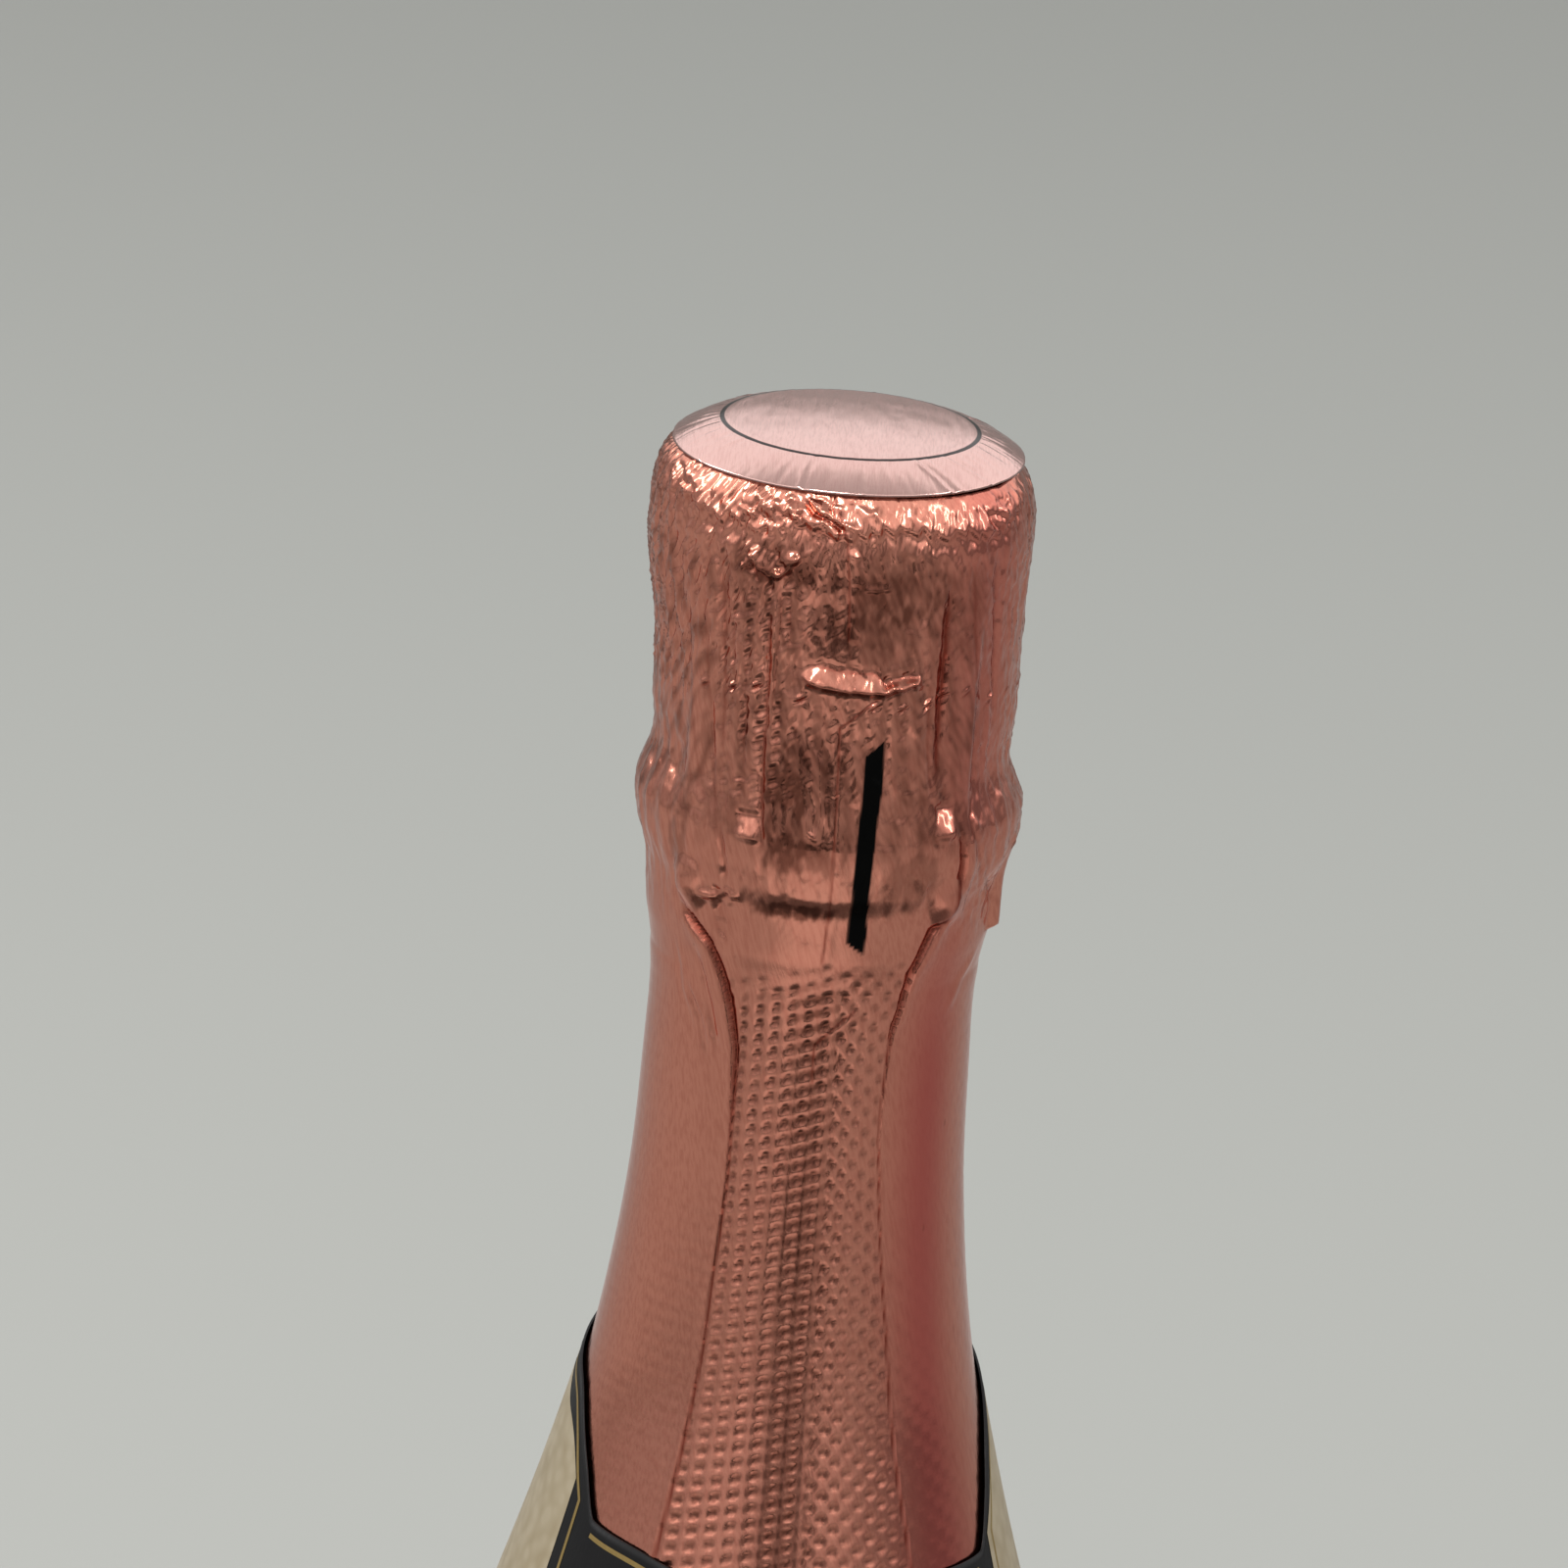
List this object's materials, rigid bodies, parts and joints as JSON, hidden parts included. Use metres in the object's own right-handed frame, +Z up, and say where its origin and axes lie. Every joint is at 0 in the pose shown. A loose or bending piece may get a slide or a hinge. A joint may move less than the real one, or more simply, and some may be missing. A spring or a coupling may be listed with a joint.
{
  "type": "champagne bottle",
  "caption": "Sealed 75 cl sparkling wine bottle: green glass with punt, wine, mushroom cork, wire cage with plaque, foil hood and skirt, paper labels.",
  "frame": {"origin": "middle of the ring that the bottle stands on, at the height of the standing surface", "axes": "+Z up along the bottle's axis; -Y is the back, where the foil's seam runs; +X is the side of the cage's wire loop"},
  "size_m": [0.0886, 0.0896, 0.3209],
  "materials": {
    "green_glass": "dark green, smooth",
    "wine": "clear liquid",
    "agglomerated_cork": "ground cork grains, matt",
    "natural_cork": "cork, matt",
    "plaque_metal": "satin lacquer",
    "cage_wire": "drawn wire",
    "rose_foil": "embossed rose foil",
    "pale_foil": "brushed pale rose",
    "black_paper": "coated, gold lines"
  },
  "bodies": {
    "root": {"glass_bottle": "green_glass", "wine": "wine", "foil_skirt": "rose_foil", "neck_label": "black_paper", "front_label": "black_paper", "back_label": "black_paper"},
    "cork": {"cork_body": "agglomerated_cork", "cork_disc_upper": "natural_cork", "cork_disc_lower": "natural_cork"},
    "cage": {"plaque": "plaque_metal", "cage_ring": "cage_wire", "cage_leg_1": "cage_wire", "cage_leg_2": "cage_wire", "cage_leg_3": "cage_wire", "cage_leg_4": "cage_wire", "cage_belt": "cage_wire"},
    "hood": {"foil_hood": "rose_foil", "foil_top_disc": "pale_foil"},
    "loop": {"cage_loop": "cage_wire"}
  },
  "joints": [
    {"name": "cork_pull", "type": "slide", "parent": "root", "child": "cork", "axis": [0, 0, 1], "range_m": [0, 0.045]},
    {"name": "cage_lift", "type": "slide", "parent": "cork", "child": "cage", "axis": [0, 0, 1], "range_m": [0, 0.05], "deforming": ["cage_belt"]},
    {"name": "hood_lift", "type": "slide", "parent": "cage", "child": "hood", "axis": [0, 0, 1], "range_m": [0, 0.045]},
    {"name": "loop_fold", "type": "hinge", "parent": "cage", "child": "loop", "pos_m": [0.01515, 0, 0.2824], "axis": [0, -1, 0], "range_deg": [0, 100], "deforming": ["foil_skirt"]}
  ]
}
